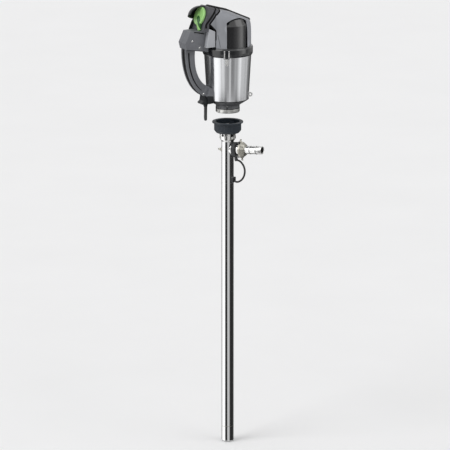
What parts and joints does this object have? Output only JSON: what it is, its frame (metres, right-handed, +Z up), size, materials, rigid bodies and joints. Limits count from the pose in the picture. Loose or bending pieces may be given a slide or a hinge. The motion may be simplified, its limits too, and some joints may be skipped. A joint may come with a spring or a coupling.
{
  "type": "electric drum pump",
  "caption": "Portable electric drum pump: motor with D-handle and rotary switch held above a long immersion tube with hand nut, hose branch and bonding cable.",
  "frame": {"origin": "on the pump tube's axis at the immersion datum, the plane just below the discharge branch to which the 1000 mm immersion length is measured", "axes": "+Z up along the tube and motor axis; the motor's handle points to -X; the discharge branch points between +X and -Y"},
  "size_m": [0.2775, 0.2507, 1.5228],
  "materials": {
    "polished_steel": "polished stainless steel",
    "machined_steel": "machined steel",
    "brushed_can": "vertically brushed stainless sheet",
    "rotor_plastic": "plain natural plastic",
    "carbon_seal": "dark carbon",
    "nut_plastic": "blue-black moulded plastic, satin",
    "wing_metal": "cast stainless, warm grey",
    "black_plastic": "black moulded plastic",
    "collar_gloss": "glossy black moulded plastic",
    "rubber": "black rubber",
    "cable_rubber": "matt black rubber sheath",
    "flange_alloy": "dark grey coated casting",
    "brass": "bright terminal",
    "hood_grey": "mid grey moulded plastic, fine texture",
    "cheek_grey": "light grey moulded plastic",
    "cap_grey": "dark grey moulded plastic",
    "handle_grey": "charcoal grey textured plastic",
    "knob_green": "light green moulded plastic",
    "inner_plastic": "plain dark plastic",
    "laminated_iron": "stacked sheet iron",
    "copper": "enamelled copper"
  },
  "bodies": {
    "pump_tube": {"outer_tube": "polished_steel", "tube_head": "polished_steel", "inner_tube": "machined_steel", "pump_foot": "polished_steel", "diffuser": "rotor_plastic", "shaft_bushes": "rotor_plastic", "head_bearing": "machined_steel", "shaft_seal": "carbon_seal", "discharge_branch": "polished_steel", "earthing_ring": "black_plastic", "tail_gasket": "rubber", "hose_tail": "polished_steel", "earth_stud": "machined_steel", "bonding_cable": "cable_rubber", "cable_clamp": "black_plastic"},
    "pump_rotor": {"pump_shaft": "machined_steel", "impeller": "rotor_plastic"},
    "nut": {"hand_nut": "nut_plastic"},
    "wing": {"wing_nut": "wing_metal"},
    "armature": {"motor_shaft": "machined_steel", "armature_core": "laminated_iron", "commutator": "copper", "cooling_fan": "rotor_plastic", "drive_socket": "machined_steel"},
    "switch": {"switch_knob": "knob_green"},
    "motor": {"spigot_ring": "machined_steel", "bottom_flange": "flange_alloy", "flange_screws": "machined_steel", "lower_bearing": "machined_steel", "motor_can": "brushed_can", "can_gasket": "rubber", "earth_terminal": "brass", "collar": "collar_gloss", "collar_clips": "black_plastic", "head_shell": "hood_grey", "ridge_strip": "black_plastic", "side_panel_right": "black_plastic", "side_panel_left": "black_plastic", "rear_cap": "cap_grey", "switch_visor": "black_plastic", "cheek_right": "cheek_grey", "cheek_left": "cheek_grey", "handle_half_right": "handle_grey", "handle_half_left": "handle_grey", "grip_band": "rubber", "handle_screws": "machined_steel", "strain_relief": "black_plastic", "switch_body": "inner_plastic", "terminal_block": "rotor_plastic", "motor_bracket": "inner_plastic", "upper_bearing": "machined_steel", "stator_core": "laminated_iron", "field_windings": "copper", "brush_holders": "inner_plastic", "carbon_brushes": "carbon_seal", "hank_strap": "black_plastic", "mains_cable": "cable_rubber", "cable_hank": "cable_rubber", "mains_plug": "black_plastic"}
  },
  "joints": [
    {"name": "motor_lift", "type": "slide", "parent": "pump_tube", "child": "motor", "axis": [0, 0, 1], "range_m": [-0.0565, 0.1]},
    {"name": "hand_nut_spin", "type": "hinge", "parent": "pump_tube", "child": "nut", "pos_m": [0, 0, 0.1], "axis": [0, 0, 1], "continuous": true},
    {"name": "pump_rotor_spin", "type": "hinge", "parent": "pump_tube", "child": "pump_rotor", "pos_m": [0, 0, 0], "axis": [0, 0, 1], "continuous": true},
    {"name": "wing_nut_spin", "type": "hinge", "parent": "pump_tube", "child": "wing", "pos_m": [0.03255, -0.05013, 0.02523], "axis": [0.5426, -0.8355, 0.0872], "continuous": true},
    {"name": "armature_spin", "type": "hinge", "parent": "motor", "child": "armature", "pos_m": [0, 0, 0.26], "axis": [0, 0, 1], "continuous": true},
    {"name": "switch_turn", "type": "hinge", "parent": "motor", "child": "switch", "pos_m": [-0.1, 0, 0.483], "axis": [-0.9397, 0, 0.342], "range_deg": [0, 60]}
  ]
}
